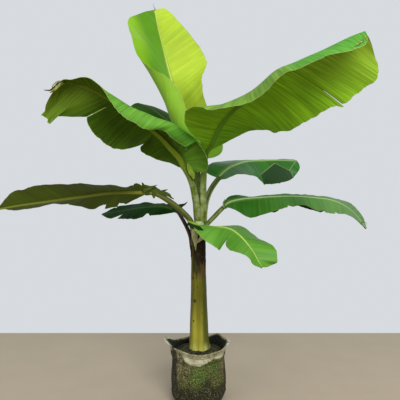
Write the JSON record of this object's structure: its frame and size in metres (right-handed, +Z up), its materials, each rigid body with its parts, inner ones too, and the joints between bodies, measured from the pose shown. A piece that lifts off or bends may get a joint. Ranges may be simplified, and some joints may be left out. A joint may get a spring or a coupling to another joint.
{
  "type": "potted banana plant",
  "caption": "Young banana plant with a sheathed stem and long arching paddle-shaped leaves, standing in a soft round grow bag.",
  "frame": {"origin": "centre of the grow bag's flat underside, on the floor", "axes": "+Z up along the stem, -Y towards the side seen in the picture, +X to that view's right"},
  "size_m": [1.6327, 1.1124, 1.9994],
  "materials": {
    "bag_weave": "matte woven plastic cloth, pale at the cuff and mossy below",
    "potting_mix": "matte",
    "stem": "satin, yellow-green with dark spots and dried brown sheath",
    "petiole": "satin, pale green",
    "petiole_old": "satin, dark brownish green",
    "leaf_young": "satin, yellow-green",
    "leaf": "satin, mid green",
    "leaf_old": "satin, dark green"
  },
  "bodies": {
    "root": {"grow_bag": "bag_weave", "soil": "potting_mix", "stem": "stem", "petiole_top": "petiole", "petiole_upper_left": "petiole", "petiole_upper_right": "petiole", "petiole_back": "petiole", "petiole_long_left": "petiole", "petiole_small_left": "petiole_old", "petiole_mid_right": "petiole", "petiole_long_right": "petiole", "petiole_front": "petiole", "leaf_top": "leaf_young", "leaf_upper_left": "leaf", "leaf_upper_right": "leaf", "leaf_back": "leaf_old", "leaf_long_left": "leaf_old", "leaf_small_left": "leaf_old", "leaf_mid_right": "leaf_old", "leaf_long_right": "leaf_old", "leaf_front": "leaf"}
  },
  "joints": []
}
